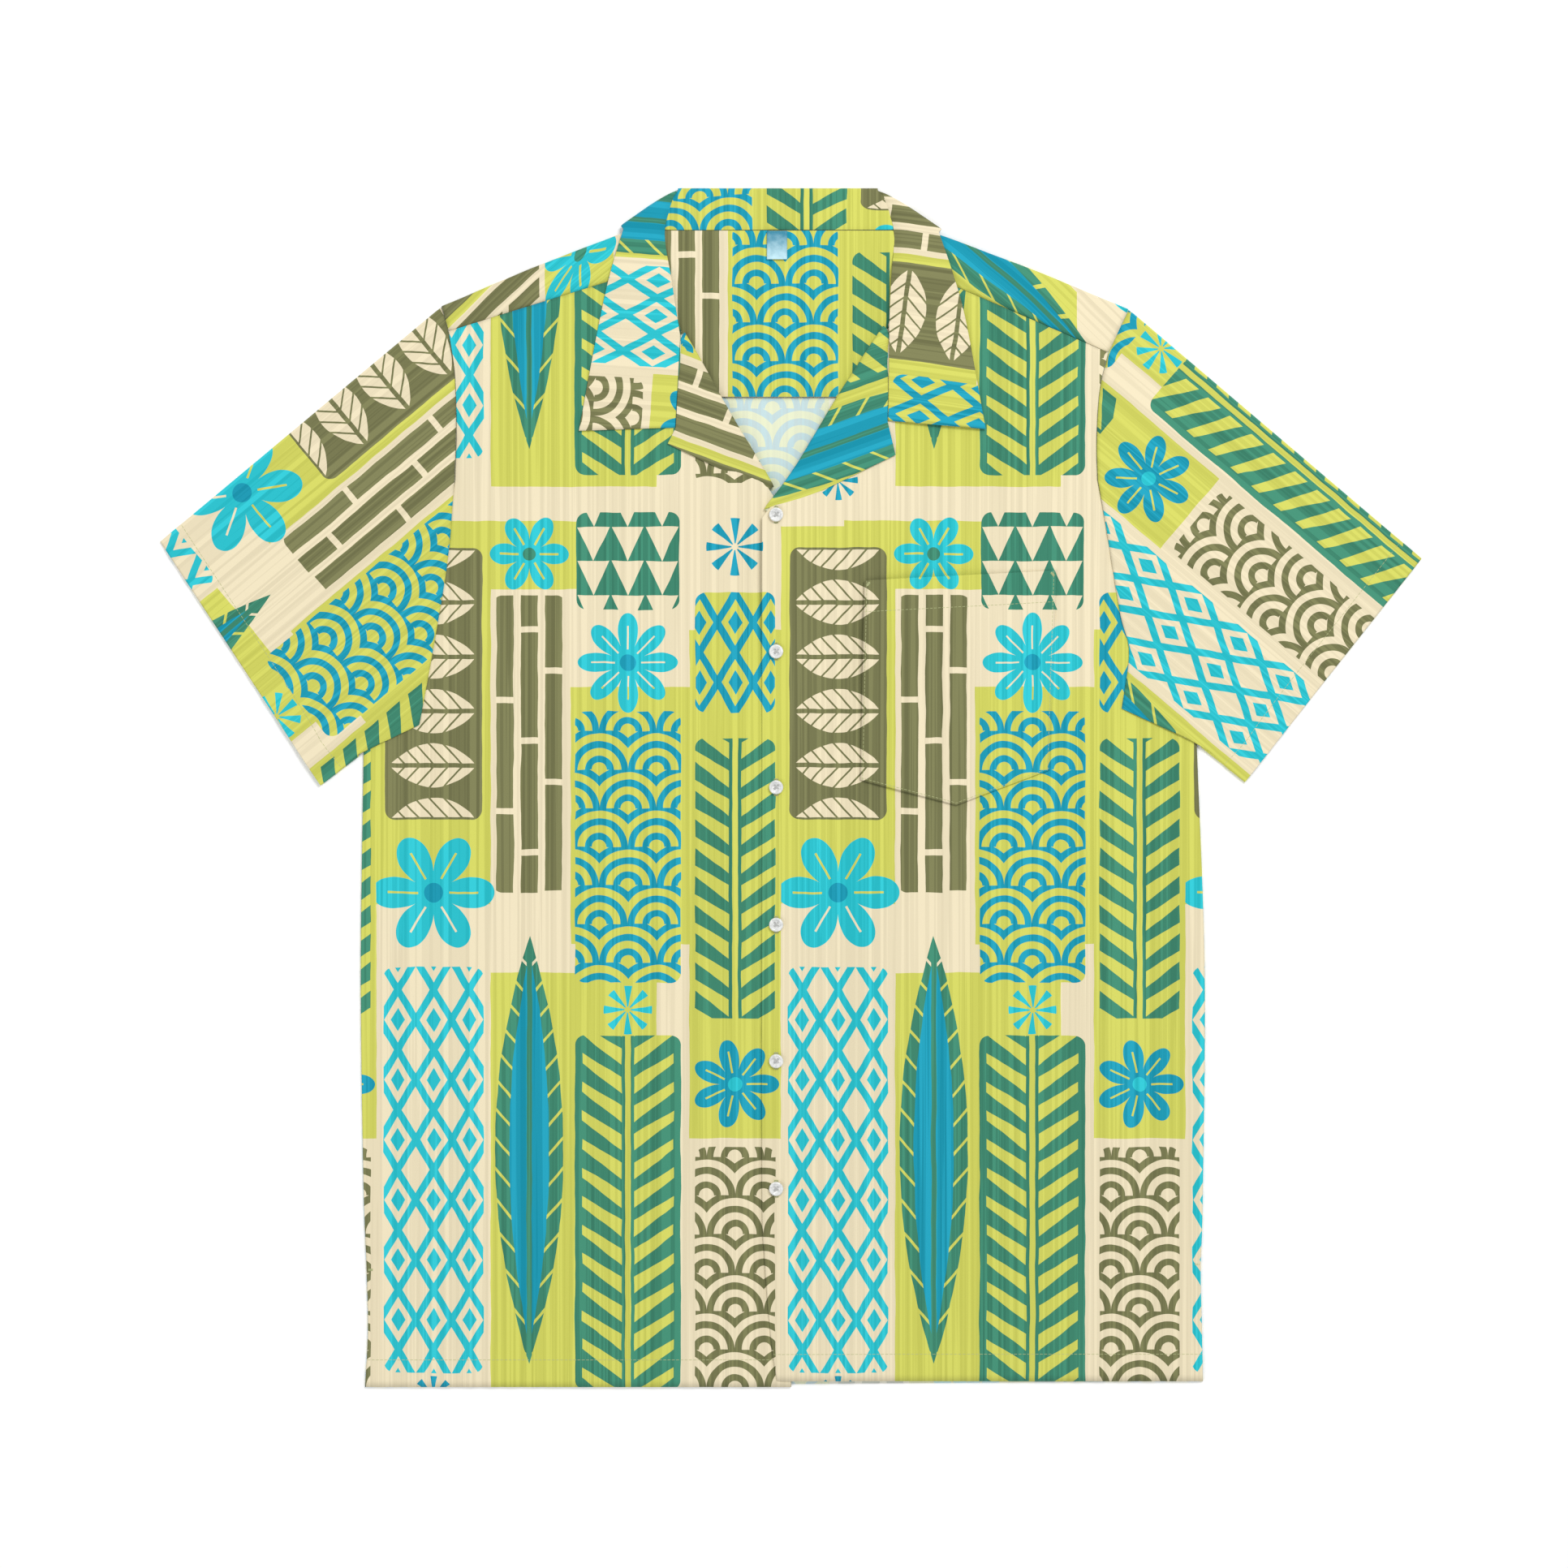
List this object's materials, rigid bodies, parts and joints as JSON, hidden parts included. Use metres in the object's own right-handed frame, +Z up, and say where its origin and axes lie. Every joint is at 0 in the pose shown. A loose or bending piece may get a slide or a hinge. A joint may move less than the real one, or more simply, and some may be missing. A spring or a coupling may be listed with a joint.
{
  "type": "hawaiian shirt",
  "caption": "Short-sleeved camp shirt with an open notched collar, chest pocket and button front, fastened and laid flat on its back.",
  "frame": {"origin": "on the table, below the middle of the shirt's outline", "axes": "+X across the shirt to the viewer's right, +Y along the body towards the collar, +Z up from the table"},
  "size_m": [0.884, 0.8392, 0.0113],
  "materials": {
    "printed_cloth": "slubbed shirt cloth, printed in lime, cream, turquoise, blue, green and olive",
    "cloth_back": "the same cloth, whose pale wrong side shows inside the neck",
    "label_satin": "satin label, blue fading to white",
    "button_pearl": "white pearly plastic"
  },
  "bodies": {
    "root": {"back": "cloth_back", "yoke": "printed_cloth", "yoke_facing": "printed_cloth", "neck_label": "label_satin", "collar_stand": "printed_cloth", "collar_fall": "printed_cloth", "front_right": "printed_cloth", "front_left": "printed_cloth", "facing_right": "printed_cloth", "facing_left": "printed_cloth", "sleeve_right": "printed_cloth", "sleeve_left": "printed_cloth", "pocket": "printed_cloth", "button_1": "button_pearl", "button_2": "button_pearl", "button_3": "button_pearl", "button_4": "button_pearl", "button_5": "button_pearl", "button_6": "button_pearl"}
  },
  "joints": []
}
